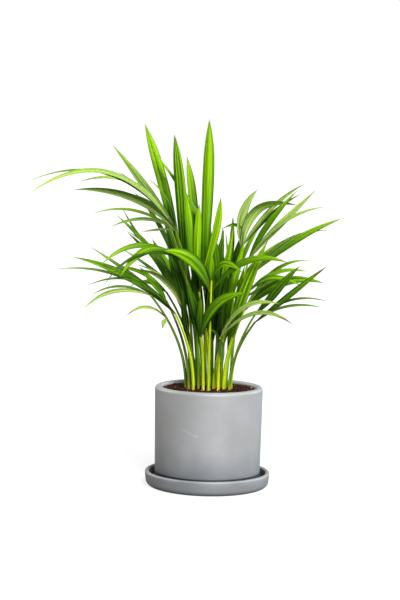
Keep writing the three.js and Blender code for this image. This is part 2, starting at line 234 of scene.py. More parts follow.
soil = begin("soil_bed", bpy.ops.mesh.primitive_cylinder_add,
             vertices=SOIL_SIDES, radius=SOIL_RADIUS, depth=SOIL_EDGE - soil_low.z)
bpy.ops.transform.translate(value=(0, 0, (SOIL_EDGE + soil_low.z) / 2))
pick(soil, "faces", lambda f: level(f, SOIL_EDGE))
ring_width = SOIL_RADIUS * math.cos(math.pi / SOIL_SIDES) / (SOIL_RINGS + 0.5)
for _ in range(SOIL_RINGS):
    bpy.ops.mesh.inset(thickness=ring_width)
pick(soil, "faces", lambda f: level(f, SOIL_EDGE) and middle(f).to_2d().length > ring_width * 7)
bpy.ops.mesh.subdivide(number_cuts=1)
finish_piece(soil, smooth_angle=180)
top = soil.vertex_groups.new(name="top")
for vertex in soil.data.vertices:
    out = vertex.co.to_2d().length / SOIL_RADIUS
    if abs(vertex.co.z - SOIL_EDGE) < TINY:
        top.add([vertex.index], 1 if out < 0.99 else 0.4, "REPLACE")
        vertex.co.z += SOIL_DOME * (1 - out * out)
for name, size, strength in LUMPS:
    texture = bpy.data.textures.new(name, "CLOUDS")
    texture.noise_scale = size
    displace = soil.modifiers.new(name, "DISPLACE")
    displace.texture = texture
    displace.direction = "Z"
    displace.strength = strength
    displace.mid_level = 0.5
    displace.vertex_group = "top"
apply_modifiers(soil)
print("soil bed:", len(soil.data.vertices), "vertices")

# %% Loose crumbs
CRUMB_COUNT = 900
CRUMB_SIZES = (0.5 * MM, 1.7 * MM)
PALE_GRAIN_SHARE = 0.03
scatter = random.Random(7)

crumb_master = begin("crumb_master", bpy.ops.mesh.primitive_ico_sphere_add,
                     subdivisions=1, radius=1)
bpy.ops.transform.vertex_random(offset=0.28, seed=3)
finish_piece(crumb_master, smooth_angle=30)
crumb_master.data.attributes.new("look", "FLOAT_COLOR", "POINT")
soil_points = [v.co.copy() for v in soil.data.vertices if v.co.z > SOIL_EDGE - 2 * MM]
soil_points = [p for p in soil_points if p.to_2d().length < SOIL_RADIUS - 2 * MM]
crumb_bed = bmesh.new()
for _ in range(CRUMB_COUNT):
    size = scatter.uniform(*CRUMB_SIZES) * scatter.uniform(0.6, 1)
    spot = scatter.choice(soil_points)
    turn = Matrix.Rotation(scatter.uniform(0, math.tau), 4, Vector.Fill(3, 1).normalized())
    turn @= Matrix.Rotation(scatter.uniform(0, math.tau), 4, "Z")
    sides = [size * scatter.uniform(0.5, 1) for _ in range(2)]
    stretch = Matrix.Diagonal((size, *sides, 1))
    crumb = crumb_master.data.copy()
    crumb.transform(Matrix.Translation(spot + Vector((0, 0, size * 0.3))) @ turn @ stretch)
    pale = 1 if scatter.random() < PALE_GRAIN_SHARE else 0
    look = (scatter.random(), pale, 0, 0)
    crumb.attributes["look"].data.foreach_set("color", look * len(crumb.vertices))
    crumb_bed.from_mesh(crumb)
    bpy.data.meshes.remove(crumb)
crumbs = bpy.data.objects.new("soil_crumbs", bpy.data.meshes.new("soil_crumbs"))
bpy.context.collection.objects.link(crumbs)
crumb_bed.to_mesh(crumbs.data)
crumb_bed.free()
bpy.data.objects.remove(crumb_master)
print("crumbs:", CRUMB_COUNT, "with", len(crumbs.data.polygons), "faces")

# %% [markdown]
# ## One blade for all the leaflets
# A palm leaflet is a thin pleated blade: narrow where it leaves the stalk, widest near its
# middle, drawn out to a point, and folded along its midrib. All leaflets have this plan, so one
# blade is modelled and each leaflet is a copy of it, bent onto its own curve. The blade lies
# along +Y from 0 to 1 and is 2 wide, and its mesh carries two attributes that the materials read:
# "grain", which runs along the fibres, and "look", which each copy sets for itself.

# %% Blade outline, fold and ribs
BLADE_COLUMNS = 8
BLADE_ROWS = 26
BLADE_FOLD = 0.38
MIDRIB_RISE = 0.05
SIDE_RIB_RISE = 0.05
BLADE_BASE_SHARE = 0.22
TIP_FULLNESS = 4
BLADE_TIP_SHARE = 0.015
BLADE_THICKNESS = 0.075


def blade_width(t, widest_at):
    """How wide the blade is at t along it, as a share of its full width."""
    opening = math.sin(min(1, t / widest_at) * math.pi / 2)
    closing = 1 - max(0, (t - widest_at) / (1 - widest_at)) ** (TIP_FULLNESS * widest_at)
    return max(BLADE_TIP_SHARE, (BLADE_BASE_SHARE + (1 - BLADE_BASE_SHARE) * opening) * closing)


blade = begin("blade_master", bpy.ops.mesh.primitive_grid_add,
              x_subdivisions=BLADE_COLUMNS, y_subdivisions=BLADE_ROWS, size=2)
bpy.ops.transform.resize(value=(1, 0.5, 1), center_override=(0, 0, 0))
bpy.ops.transform.translate(value=(0, 0.5, 0))
for column in range(BLADE_COLUMNS + 1):
    across = 2 * column / BLADE_COLUMNS - 1
    rib = MIDRIB_RISE if across == 0 else SIDE_RIB_RISE if abs(across) == 0.5 else 0
    pick(blade, "verts", lambda v: abs(v.co.x - across) < 0.01)
    bpy.ops.transform.translate(value=(0, 0, rib - BLADE_FOLD * abs(across)))
bpy.ops.object.mode_set(mode="OBJECT")
print("blade:", len(blade.data.vertices), "vertices before it has a thickness")

# %% Blade thickness, shading and attributes
grain = blade.data.attributes.new("grain", "FLOAT_VECTOR", "POINT")
for vertex, value in zip(blade.data.vertices, grain.data):
    value.vector = (vertex.co.x, 0, vertex.co.y)
blade.data.attributes.new("look", "FLOAT_COLOR", "POINT")
solidify = blade.modifiers.new("thickness", "SOLIDIFY")
solidify.thickness = BLADE_THICKNESS
solidify.offset = -1
solidify.material_offset = 1
solidify.material_offset_rim = 1
blade.data.materials.append(bpy.data.materials.new("leaf_upper"))
blade.data.materials.append(bpy.data.materials.new("leaf_under"))
apply_modifiers(blade)
finish_piece(blade, smooth_angle=24)
print("blade:", len(blade.data.polygons), "faces, upper and under sides")

# %% [markdown]
# ## One stalk for all the fronds
# A stalk is a slim stem with a channel down its front. It starts as a circle that is pulled out
# step by step, and its channel is pressed in by moving one column of points.

# %% Stalk
STALK_SIDES = 12
STALK_STEPS = 22
CHANNEL_DEPTH = 0.22

stalk = begin("stalk_master", bpy.ops.mesh.primitive_circle_add,
              vertices=STALK_SIDES, radius=1, fill_type="NGON")
for _ in range(STALK_STEPS):
    extrude(z=1 / STALK_STEPS)
bpy.ops.mesh.select_all(action="SELECT")
bpy.ops.mesh.normals_make_consistent(inside=False)
channel = pick(stalk, "verts", lambda v: v.co.y < -0.99)
bpy.ops.transform.translate(value=(0, CHANNEL_DEPTH, 0))
bpy.ops.object.mode_set(mode="OBJECT")
grain = stalk.data.attributes.new("grain", "FLOAT_VECTOR", "POINT")
for vertex, value in zip(stalk.data.vertices, grain.data):
    value.vector = vertex.co
stalk.data.attributes.new("look", "FLOAT_COLOR", "POINT")
stalk.data.materials.append(bpy.data.materials.new("stalk_skin"))
finish_piece(stalk, smooth_angle=50)
print("stalk:", len(stalk.data.polygons), "faces,", channel, "points in its channel")

# %% [markdown]
# ## The fronds
# These are the fronds of the imported plant, in millimetres: the foot on the soil, the stalk's end,
# the stalk's colour, and a row for each leaflet. A row gives the place along the stalk, the tip,
# the width, the lift of the blade's middle, the way it faces (0 shows the upper side to the
# front, 90 turns it up, 180 shows the underside) and its colour. Two more values are only given
# where they are not the usual ones: 1 if its tip is dry, and where along it the blade is widest.
# Tones run from 0, dark green, to 1, lime. The second number is how pale and grey the leaf is.

# %% Colours of leaflets and stalks
# The deepest tone is painted shade: leaflets deep inside the clump are coloured nearly black.
SHADED = (0.0, 0.0)
DARK = (0.2, 0.0)
MID = (0.45, 0.0)
OLIVE = (0.42, 0.3)
BRIGHT = (0.7, 0.0)
LIME = (0.9, 0.0)
PALE = (0.6, 0.9)
# The palest tone is pale bloom made brighter still as painted light, on leaflets that turn away
# from the key light.
PALE_LIT = (0.95, 1.0)
GREY = (0.1, 0.0)
GREEN = (0.5, 0.0)
YELLOW = (1.0, 0.0)

# %% Fronds
USUAL_ENDING = (0, 0.45)
FRONDS = {
    "frond_left_low": ((-31, -7), (-78, -66, 260), GREY, [
        (1, -163, -100, 244, 8, 16, 50, PALE),
        (1, -155, -84, 260, 6, 13, 60, OLIVE),
        (0.75, -110, -74, 233, 5, 14, 40, PALE, 1),
        (0.75, -63, -52, 216, 7, 4, 30, PALE, 1),
    ]),
    "frond_left_thin": ((-27, -15.5), (-59, -28, 251), GREY, [
        (1, -160, -54, 322, 6, 2, 35, OLIVE),
        (1, -94, -38, 295, 9, 2, 20, BRIGHT),
    ]),
    "frond_left_long": ((-21, -20), (-46, -36, 234), YELLOW, [
        (1, -179, -80, 309, 11, 13, 30, MID),
        (1, -204, -58, 291, 6, 22, 50, OLIVE),
        (1, -159, -108, 274, 5, 26, 55, DARK),
        (0.6, -38, -40, 268, 9, 3, 25, SHADED),
    ]),
    "frond_left_drooping": ((-14, -14), (-40, -38, 305), GREEN, [
        (1, -143, -92, 299, 9, 24, 40, BRIGHT),
        (1, -117, -102, 286, 12, 26, 30, BRIGHT),
        (1, -136, -122, 276, 5, 25, 50, DARK),
        (0.45, -30, -34, 270, 10, 2, 20, SHADED),
    ]),
    "frond_front_low": ((-8, -22), (-13, -40, 204), GREEN, [
        (1, 46, -68, 266, 17, 18, 30, MID),
        (1, -31, -56, 276, 13, 3, 20, DARK),
        (1, -14, -60, 262, 10, -2, 20, DARK),
    ]),
    "frond_front_stub": ((-1, -27), (-1, -36, 213), YELLOW, []),
    "frond_front_broad": ((-1, -19), (0, -36, 279), YELLOW, [
        (0.9, -62, -70, 319, 20, 17, 35, BRIGHT),
        (1, -1, -42, 313, 10, 1, 10, BRIGHT),
        (1, 40, -60, 291, 10, 19, 40, BRIGHT),
        (0.9, 97, -92, 308, 11, 22, 40, BRIGHT),
    ]),
    "frond_right_arching": ((12, -21), (13, -40, 204), YELLOW, [
        (1, 89, -84, 254, 9, 21, 45, PALE),
        (1, 105, -108, 230, 8, 25, 50, PALE, 1),
        (1, 17, -52, 170, 9, 2, 20, DARK),
        (1, 1, -52, 216, 4, 1, 40, DARK),
    ]),
    "frond_right_dark": ((29, -8), (59, -34, 236), GREEN, [
        (1, 113, -76, 303, 12, 2, 30, MID),
    ]),
    "frond_right_amber_tip": ((27, -16), (58, -52, 227), GREY, [
        (1, 146, -108, 306, 9, 1, 35, MID, 1),
        (1, 152, -82, 258, 4, 16, 40, OLIVE),
        (1, 141, -122, 254, 5, 12, 50, OLIVE),
    ]),
    "frond_right_low_broad": ((22, -7), (45, -14, 239), GREEN, [
        (1, 148, -26, 278, 14, 19, 30, MID),
        (1, 130, -4, 281, 6, 20, 50, PALE),
        (0.6, 44, -20, 300, 10, 2, 20, MID),
    ]),
    "frond_right_bright": ((6, -14), (49, -28, 264), GREEN, [
        (1, 118, -56, 275, 8, 16, 35, BRIGHT),
        (1, 128, -34, 293, 8, 14, 45, BRIGHT),
        (0.95, 74, -46, 278, 4, 0, 30, OLIVE, 1),
        (0.5, 16, -26, 268, 10, 1, 20, SHADED),
    ]),
    "frond_right_upright": ((19, -15), (29, -36, 204), YELLOW, [
        (1, 72, -60, 334, 16, 8, 25, BRIGHT),
        (0.7, 30, -40, 262, 9, 1, 15, MID),
    ]),
    "frond_right_fan": ((16, 1), (40, 6, 322), GREEN, [
        (1, 60, 12, 399, 14, 12, 150, PALE),
        (1, 112, -16, 379, 16, 30, 140, PALE_LIT),
        (1, 124, 22, 408, 10, 10, 130, PALE_LIT),
        (1, 121, 44, 394, 9, 8, 60, DARK),
        (1, 13, 20, 344, 7, 20, 130, LIME),
        (0.5, 43, -6, 330, 11, 2, 10, BRIGHT),
        (0.3, 30, -2, 280, 10, 1, 10, MID),
    ]),
    "frond_right_pair": ((29, 1), (49, -6, 306), GREEN, [
        (1, 110, -30, 399, 10, 7, 35, BRIGHT),
        (1, 133, -52, 401, 10, 3, 30, PALE_LIT),
        (1, 145, -74, 380, 7, 16, 50, PALE_LIT),
    ]),
    "frond_right_long": ((23, 5), (60, 14, 290), GREEN, [
        (1, 174, 2, 363, 11, 9, 35, BRIGHT),
        (1, 160, 34, 345, 7, 17, 45, OLIVE),
    ]),
    "frond_crossing": ((9, 4), (24, 16, 290), GREEN, [
        (1, -88, 30, 456, 8, 6, 40, BRIGHT),
        (1, 28, 44, 362, 9, 3, 40, MID),
        (0.5, 20, 4, 310, 12, 1, 10, SHADED),
    ]),
    "frond_tallest": ((1, 1), (-9, 8, 262), GREEN, [
        (1, -7, 12, 490, 16, 0, 5, BRIGHT, 0, 0.65),
        (0.8, 6, -2, 330, 12, 1, 15, DARK),
        (0.5, -3, -5, 300, 11, 1, 10, SHADED),
    ]),
    "frond_dark_upright": ((-7, 3.5), (-31, 8, 250), GREEN, [
        (1, -53, 14, 469, 15, 2, 10, MID, 0, 0.65),
        (0.9, -66, 12, 356, 13, 3, 15, SHADED),
        (0.5, -22, 9, 310, 12, 1, 10, SHADED),
    ]),
    "frond_left_pale": ((-21, -8), (-38, -20, 242), GREEN, [
        (1, -102, -74, 294, 8, 15, 150, PALE),
        (1, -89, -26, 317, 13, 8, 20, DARK),
        (1, -99, -50, 299, 5, 12, 50, PALE),
        (0.85, -60, -24, 322, 13, 4, 15, SHADED),
    ]),
    "frond_left_fan": ((-25, 1), (-50, -8, 280), GREEN, [
        (1, -127, -34, 363, 8, 4, 35, MID),
        (1, -113, -16, 340, 7, 2, 30, LIME),
        (1, -121, -10, 373, 5, -4, 40, OLIVE),
        (0.9, -121, -22, 319, 5, 2, 40, MID),
        (0.7, -80, 2, 330, 14, 5, 15, MID),
        (0.4, -44, -6, 262, 9, 3, 20, SHADED),
    ]),
    "frond_left_striped": ((-14, -5), (-48, -26, 343), GREEN, [
        (1, -180, -72, 395, 11, 20, 150, OLIVE),
        (1, -133, -56, 347, 6, 14, 40, OLIVE),
        (1, -161, -24, 362, 6, 17, 50, LIME),
        (1, -93, -40, 341, 4, 3, 40, OLIVE, 1),
    ]),
    "frond_far_left": ((-16, 3), (-62, -16, 362), GREEN, [
        (1, -242, -40, 387, 9, 46, 50, PALE_LIT),
        (1, -250, -8, 401, 7, 38, 60, OLIVE),
        (1, -181, 12, 403, 8, 27, 50, PALE_LIT),
        (1, -107, -26, 390, 5, 4, 40, DARK),
        (0.35, -37, 4, 286, 9, 1, 10, SHADED),
    ]),
    "frond_left_pointed": ((-22, 10), (-50, 26, 345), GREEN, [
        (1, -136, 40, 453, 12, 2, 30, OLIVE),
        (1, -132, 62, 419, 4, 8, 40, OLIVE),
        (1, -90, 22, 411, 4, 10, 40, MID),
    ]),
    "frond_top_left": ((-13, 12), (-40, 32, 280), GREEN, [
        (1, -94, 54, 483, 15, 6, 10, BRIGHT, 0, 0.65),
        (0.9, -110, 84, 392, 8, 12, 40, MID),
        (0.8, -62, 40, 352, 14, 3, 15, DARK),
    ]),
    "frond_pale_upright": ((-5, 9), (-16, 32, 285), YELLOW, [
        (1, -36, 48, 440, 12, 3, 15, BRIGHT, 0, 0.65),
        (1, -48, 66, 418, 13, 2, 20, MID),
    ]),
    "frond_lime_pair": ((-7.5, -10), (-21, -14, 258), YELLOW, [
        (1, -36, -20, 392, 12, 2, 10, BRIGHT, 0, 0.65),
        (1, -18, -28, 379, 10, 0, 10, LIME, 0, 0.65),
        (0.5, -26, -24, 306, 10, 2, 10, SHADED),
    ]),
    "frond_lime_lobed": ((0, -8), (-16, -20, 262), YELLOW, [
        (1, 10, -36, 388, 10, -4, 15, LIME, 0, 0.65),
        (0.5, 2, -22, 300, 11, 1, 15, DARK),
    ]),
    "frond_inner_right": ((8, -5), (12, -6, 240), GREEN, [
        (1, 1, -12, 352, 10, 0, 15, MID),
        (1, 14, 4, 350, 8, 0, 20, DARK),
        (1, 28, -14, 350, 10, 1, 15, BRIGHT),
        (0.5, 22, -14, 296, 12, 1, 15, SHADED),
    ]),
    "frond_back_left": ((-9, 20), (-30, 54, 262), GREEN, [
        (0.9, -56, 66, 336, 14, 3, 10, DARK),
        (1, -120, 118, 335, 11, 10, 60, BRIGHT),
        (1, -84, 150, 372, 11, 14, 60, LIME),
        (1, -54, 105, 430, 10, 8, 40, BRIGHT),
        (0.5, -26, 34, 290, 13, 1, 10, SHADED),
    ]),
    "frond_back_middle": ((4, 11), (2, 40, 250), GREEN, [
        (0.9, 16, 50, 342, 14, 2, 10, DARK),
        (0.9, -24, 58, 350, 14, 2, 10, MID),
        (1, -14, 96, 420, 11, 6, 30, BRIGHT),
        (1, -30, 140, 372, 10, 14, 60, LIME),
        (0.5, 4, 28, 290, 13, 1, 10, SHADED),
    ]),
    "frond_back_right": ((13, 11), (26, 44, 255), GREEN, [
        (0.9, 40, 60, 335, 14, 2, 10, DARK),
        (1, 118, 96, 335, 11, 12, 60, BRIGHT),
        (1, 82, 140, 362, 11, 16, 60, LIME),
        (1, 20, 150, 335, 10, 16, 80, MID),
        (0.5, 30, 30, 280, 13, 1, 10, SHADED),
    ]),
    "frond_back_low_right": ((21, 14), (62, 50, 262), GREEN, [
        (1, 140, 88, 300, 9, 14, 60, BRIGHT),
        (1, 118, 112, 262, 9, 16, 60, MID),
    ]),
    "frond_back_low_left": ((-18, 18), (-60, 48, 255), GREEN, [
        (1, -150, 84, 282, 9, 16, 60, BRIGHT),
        (1, -120, 116, 250, 9, 16, 60, LIME),
    ]),
    "frond_back_low": ((1, 20), (0, 64, 240), YELLOW, [
        (0.9, -14, 84, 322, 14, 2, 10, MID),
        (1, -40, 140, 300, 11, 14, 60, LIME),
        (1, 44, 138, 290, 11, 14, 60, BRIGHT),
    ]),
}
print("fronds:", len(FRONDS), "leaflets:", sum(len(rows) for _, _, _, rows in FRONDS.values()))

# %% [markdown]
# A copy is bent by reading each of its points as three numbers: how far along, how far to the
# side and how far off the surface. A point on the curve and two directions square to the curve
# turn those into a place. A small twist and sway, different for each leaflet, keeps them from
# looking stamped.

# %% Bend a copy onto a curve
SOIL_TOP = 130.5 * MM
STALK_BEND = 132.3 * MM
PLANTED_DEPTH = 14 * MM
STALK_RADIUS = 2.2 * MM
STALK_END_SHARE = 0.6
UP = Vector((0, 0, 1))
FRONT = Vector((0, -1, 0))


def square_to(direction, line):
    """The part of a direction that is square to a line, as a unit vector."""
    return (direction - line * direction.dot(line) / line.length_squared).normalized()


def on_curve(start, control, end, t):
    """The point and the unit tangent at t on an arc from start to end."""
    point = start * (1 - t) ** 2 + control * 2 * t * (1 - t) + end * t * t
    tangent = (control - start) * (1 - t) + (end - control) * t
    return point, tangent.normalized()


def copy_of(master, name, look):
    """A copy with its own mesh, and its look set on every point."""
    made = bpy.data.objects.new(name, master.data.copy())
    bpy.context.collection.objects.link(made)
    colours = tuple(look) * len(made.data.vertices)
    made.data.attributes["look"].data.foreach_set("color", colours)
    return made


def bent_stalk(name, foot, end, look):
    """A stalk: upright in the soil, then an even bend out to its end."""
    start = Vector((foot[0], foot[1], STALK_BEND))
    control = Vector((foot[0], foot[1], (STALK_BEND + end.z) / 2))
    made = copy_of(stalk, name, look)
    for vertex in made.data.vertices:
        step = max(0, (vertex.co.z * STALK_STEPS - 1) / (STALK_STEPS - 1))
        point, tangent = on_curve(start, control, end, step)
        if vertex.co.z == 0:
            point = Vector((foot[0], foot[1], SOIL_TOP - PLANTED_DEPTH))
        back = square_to(-FRONT, tangent)
        side = back.cross(tangent)
        radius = STALK_RADIUS * (1 + (STALK_END_SHARE - 1) * step)
        vertex.co = point + (side * vertex.co.x + back * vertex.co.y) * radius
    return made, (start, control, end)


MOST_TWIST = 16
MOST_SWAY = 0.8 * MM
FOLD_RANGE = (0.7, 1.35)
TWIST_PIVOT = 0.3


def bent_leaflet(name, base, tip, width, lift, face, widest_at, look, chance):
    """A leaflet: its middle is lifted off the straight line from base to tip."""
    chord = tip - base
    control = (base + tip) / 2 + square_to(UP, chord) * lift * 2
    to_front = square_to(FRONT, chord)
    across = to_front.cross(chord).normalized()
    if across.z < 0:
        across.negate()
    turn = math.radians(face)
    facing = to_front * math.cos(turn) + across * math.sin(turn)
    twist = math.radians(chance.uniform(-MOST_TWIST, MOST_TWIST))
    sway = chance.uniform(-MOST_SWAY, MOST_SWAY)
    fold = chance.uniform(*FOLD_RANGE)
    made = copy_of(blade, name, look)
    for vertex in made.data.vertices:
        x, t, z = vertex.co
        point, tangent = on_curve(base, control, tip, t)
        normal = square_to(facing, tangent)
        normal.rotate(Matrix.Rotation(twist * (t - TWIST_PIVOT), 3, tangent))
        side = tangent.cross(normal)
        half = width / 2 * blade_width(t, widest_at)
        drift = sway * math.sin(t * math.tau)
        vertex.co = point + side * (x * half + drift) + normal * z * half * fold
    return made


print("a stalk has", STALK_STEPS, "steps and a leaflet", BLADE_ROWS)

# %% Build every frond
def join(pieces, name):
    """Joins the pieces into the first and names it."""
    bpy.ops.object.select_all(action="DESELECT")
    for piece in pieces:
        piece.select_set(True)
    bpy.context.view_layer.objects.active = pieces[0]
    if len(pieces) > 1:
        bpy.ops.object.join()
    joined = bpy.context.view_layer.objects.active
    joined.name = joined.data.name = name
    return joined


def millimetres(values):
    return Vector(values) * MM


fronds = {}
for name, (foot, end, stalk_look, rows) in FRONDS.items():
    chance = random.Random(name)
    look = (*stalk_look, 0, chance.random())
    stem, curve = bent_stalk(name, millimetres((*foot, 0)), millimetres(end), look)
    parts = [stem]
    for row in rows:
        row += USUAL_ENDING[len(row) - 8:]
        along, x, y, z, width, lift, face, tone, dry, widest_at = row
        base, _ = on_curve(*curve, along)
        look = (*tone, dry, chance.random())
        parts.append(bent_leaflet(name, base, millimetres((x, y, z)), width * MM, lift * MM,
                                  face, widest_at, look, chance))
    fronds[name] = join(parts, name.replace("frond_", "palm_"))
bpy.data.objects.remove(blade)
bpy.data.objects.remove(stalk)
print("fronds made:", len(fronds))

# %% [markdown]
# ## The new shoots
# Two new shoots are just breaking the soil: short orange-yellow spikes. Each is a cone that is
# subdivided and leaned over a little, with a blunt tip.

# %% Shoots
SHOOTS = {"shoot_left": (-7, -31), "shoot_right": (11, -30)}
SHOOT_HEIGHT = 9 * MM
shoots = {}
for name, (x, y) in SHOOTS.items():
    length = PLANTED_DEPTH + SHOOT_HEIGHT
    shoot = begin(name.replace("shoot", "young_shoot"), bpy.ops.mesh.primitive_cone_add,
                  vertices=12, radius1=STALK_RADIUS, radius2=STALK_RADIUS * 0.25, depth=length)
    bpy.ops.transform.translate(value=(x * MM, y * MM, SOIL_TOP - PLANTED_DEPTH + length / 2))
    pick(shoot, "edges", lambda e: abs(e.verts[0].co.z - e.verts[1].co.z) > length / 2)
    bpy.ops.mesh.subdivide(number_cuts=6)
    pick(shoot, "verts", lambda v: v.co.z > SOIL_TOP + SHOOT_HEIGHT / 2)
    bpy.ops.transform.translate(value=(math.copysign(0.4 * MM, x), 0, 0))
    finish_piece(shoot, smooth_angle=60)
    shoots[name] = shoot
print("shoots:", ", ".join(shoots))

# %% [markdown]
# ## Materials
# A material is a small tree of nodes. Two effects are shared, so each is a node group with named
# inputs and outputs: fibres that run along a leaf or stalk, and the mottling and specks of clay
# and soil.

# %% Helpers for nodes
def feed(made, inputs):
    """Fills a node's inputs. Each is a number or colour, or another node's output to link."""
    for key, value in inputs.items():
        if isinstance(value, bpy.types.NodeSocket):
            made.id_data.links.new(value, made.inputs[key])
        else:
            made.inputs[key].default_value = value


def node(tree, kind, inputs=None, **settings):
    """Adds a shader node of a kind, with its settings and inputs."""
    made = tree.nodes.new("ShaderNode" + kind)
    for key, value in settings.items():
        setattr(made, key, value)
    feed(made, inputs or {})
    return made


def maths(tree, operation, a, b=0.0):
    return node(tree, "Math", {0: a, 1: b}, operation=operation).outputs[0]


def times(tree, a, b):
    return maths(tree, "MULTIPLY", a, b)


def spread(tree, value, low, high, to_low=0.0, to_high=1.0):
    """Stretches the range low to high of a value onto another range, and holds it there."""
    inputs = {"Value": value, "From Min": low, "From Max": high,
              "To Min": to_low, "To Max": to_high}
    return node(tree, "MapRange", inputs).outputs["Result"]


def blend(tree, amount, a, b):
    """Mixes two colours by an amount from 0 to 1."""
    a, b = [c if isinstance(c, bpy.types.NodeSocket) else (*c, 1) for c in (a, b)]
    return node(tree, "Mix", {0: amount, 6: a, 7: b}, data_type="RGBA").outputs[2]


def new_group(name, inputs, outputs):
    """A node group with named sockets: its tree, the values it is given, and its results."""
    tree = bpy.data.node_groups.new(name, "ShaderNodeTree")
    for side, sockets in (("INPUT", inputs), ("OUTPUT", outputs)):
        for socket, kind in sockets.items():
            tree.interface.new_socket(name=socket, in_out=side, socket_type="NodeSocket" + kind)
    add = tree.nodes.new
    return tree, add("NodeGroupInput").outputs, add("NodeGroupOutput").inputs


def use_group(tree, group, inputs):
    return node(tree, "Group", inputs, node_tree=group).outputs


def principled(material):
    """The tree and the main shader of a new node material."""
    material.use_nodes = True
    return material.node_tree, material.node_tree.nodes["Principled BSDF"]


def bump(tree, height, distance, strength=1.0):
    inputs = {"Height": height, "Distance": distance, "Strength": strength}
    return node(tree, "Bump", inputs).outputs["Normal"]


print("node helpers ready")

# %% Shared effects
# Fibres: streaks, long along the grain and narrow across it, and finer veins between them.
fibres, given, results = new_group(
    "leaf_fibres", {"Grain": "Vector", "Seed": "Float", "Across": "Float"},
    {"Streaks": "Float", "Veins": "Float"})
shift = node(fibres, "CombineXYZ", dict.fromkeys((0, 1, 2), given["Seed"]))
moved = node(fibres, "VectorMath", {0: shift.outputs[0], 1: (31, 17, 7)},
             operation="MULTIPLY")
moved = node(fibres, "VectorMath", {0: moved.outputs[0], 1: given["Grain"]},
             operation="ADD")
for output, across, along, detail in (("Streaks", 1, 0.5, 2), ("Veins", 4, 1.2, 1)):
    fineness = times(fibres, given["Across"], across)
    scale = node(fibres, "CombineXYZ", {0: fineness, 1: fineness, 2: along})
    stretched = node(fibres, "VectorMath", {0: moved.outputs[0], 1: scale.outputs[0]},
                     operation="MULTIPLY")
    noise = node(fibres, "TexNoise",
                 {"Vector": stretched.outputs[0], "Scale": 1.0, "Detail": detail})
    fibres.links.new(spread(fibres, noise.outputs["Fac"], 0.3, 0.7), results[output])

# Mottling: soft clouds of lighter and darker tone. Specks: scattered grains.
mottling, given, results = new_group(
    "mottling", {"Size": "Float", "Speck Size": "Float", "Speck Share": "Float"},
    {"Clouds": "Float", "Specks": "Float", "Grain": "Float"})
place = node(mottling, "TexCoord").outputs["Object"]
frequency = maths(mottling, "DIVIDE", 1.0, given["Size"])
clouds = node(mottling, "TexNoise", {"Vector": place, "Scale": frequency, "Detail": 4.0})
mottling.links.new(spread(mottling, clouds.outputs["Fac"], 0.3, 0.7), results["Clouds"])
frequency = maths(mottling, "DIVIDE", 1.0, given["Speck Size"])
cells = node(mottling, "TexVoronoi", {"Vector": place, "Scale": frequency})
chosen = node(mottling, "SeparateColor", {0: cells.outputs["Color"]}).outputs[0]
chosen = maths(mottling, "LESS_THAN", chosen, given["Speck Share"])
near = spread(mottling, cells.outputs["Distance"], 0.25, 0.4, 1.0, 0.0)
mottling.links.new(times(mottling, near, chosen), results["Specks"])
fine = node(mottling, "TexNoise", {"Vector": place, "Scale": frequency, "Detail": 3.0})
mottling.links.new(fine.outputs["Fac"], results["Grain"])
print("shared effects:", ", ".join(group.name for group in bpy.data.node_groups))

# %% [markdown]
# ### Matt ceramic
# The clay is a stone grey with a dry, very finely sanded skin. Light and dark specks of grit show
# in it, its tone drifts a little, and the tops of the rims are a shade lighter, as a painted
# highlight.
# The foot of the wall is darker: painted shade that fades up the wall. The saucer is the same clay,
# so one function makes both, each with its own rim, painted foot shade and painted moat shade.
# Painted shade makes the clay nearly black inside the saucer and round the pot's foot, and one pale
# scuff runs down the pot's front.

# %% Ceramic
CLAY_DARK = (0.255, 0.256, 0.257)
CLAY_LIGHT = (0.303, 0.309, 0.316)
# Painted highlight: a lighter colour blended, in patches, onto the tops of the rims.
CLAY_RIM_HIGHLIGHT = (0.44, 0.44, 0.435)
GRIT_DARK = (0.16, 0.16, 0.16)
GRIT_LIGHT = (0.50, 0.50, 0.49)
# Painted shade that darkens the foot of the wall, fading upwards.
CLAY_FOOT_SHADE = (0.100, 0.119, 0.140)
# Painted shade, nearly black, inside the saucer's moat and on the pot's foot within it.
MOAT_SHADE = (0.008, 0.007, 0.006)
SCUFF = (0.62, 0.62, 0.60)
SCUFF_FROM = (-36 * MM, 86 * MM)
SCUFF_SLOPE = -0.42
SCUFF_LENGTH = 23 * MM
SCUFF_WANDER = 1.6 * MM
SCUFF_EDGE = (0.1 * MM, 0.7 * MM)
FOOT_SHADE_WANDER = 6 * MM
FOOT_SHADE_FROM = 14 * MM
MOAT_SHADE_FADE = 1.5 * MM
GRIT_SHARE = 0.35
MOAT_SHADE_SHARE = 0.92
RIM_HIGHLIGHT_SHARE = 0.1
SCUFF_SHARE = 0.6
RIM_HIGHLIGHT_FROM = 4 * MM


def scuff_amount(tree, x, y, z, grain):
    """1 on a thin, broken, slanting line on the pot's front, and 0 elsewhere."""
    along = maths(tree, "SUBTRACT", x, SCUFF_FROM[0])
    line = maths(tree, "ADD", times(tree, along, SCUFF_SLOPE), SCUFF_FROM[1])
    wander = spread(tree, grain, 0.3, 0.7, -SCUFF_WANDER, SCUFF_WANDER)
    off = maths(tree, "ABSOLUTE", maths(tree, "SUBTRACT", maths(tree, "ADD", z, wander), line))
    amount = spread(tree, off, *SCUFF_EDGE, 1.0, 0.0)
    halfway = maths(tree, "ABSOLUTE", maths(tree, "SUBTRACT", along, SCUFF_LENGTH / 2))
    for limit in (maths(tree, "LESS_THAN", halfway, SCUFF_LENGTH / 2),
                  maths(tree, "LESS_THAN", y, 0.0)):
        amount = times(tree, amount, limit)
    return amount


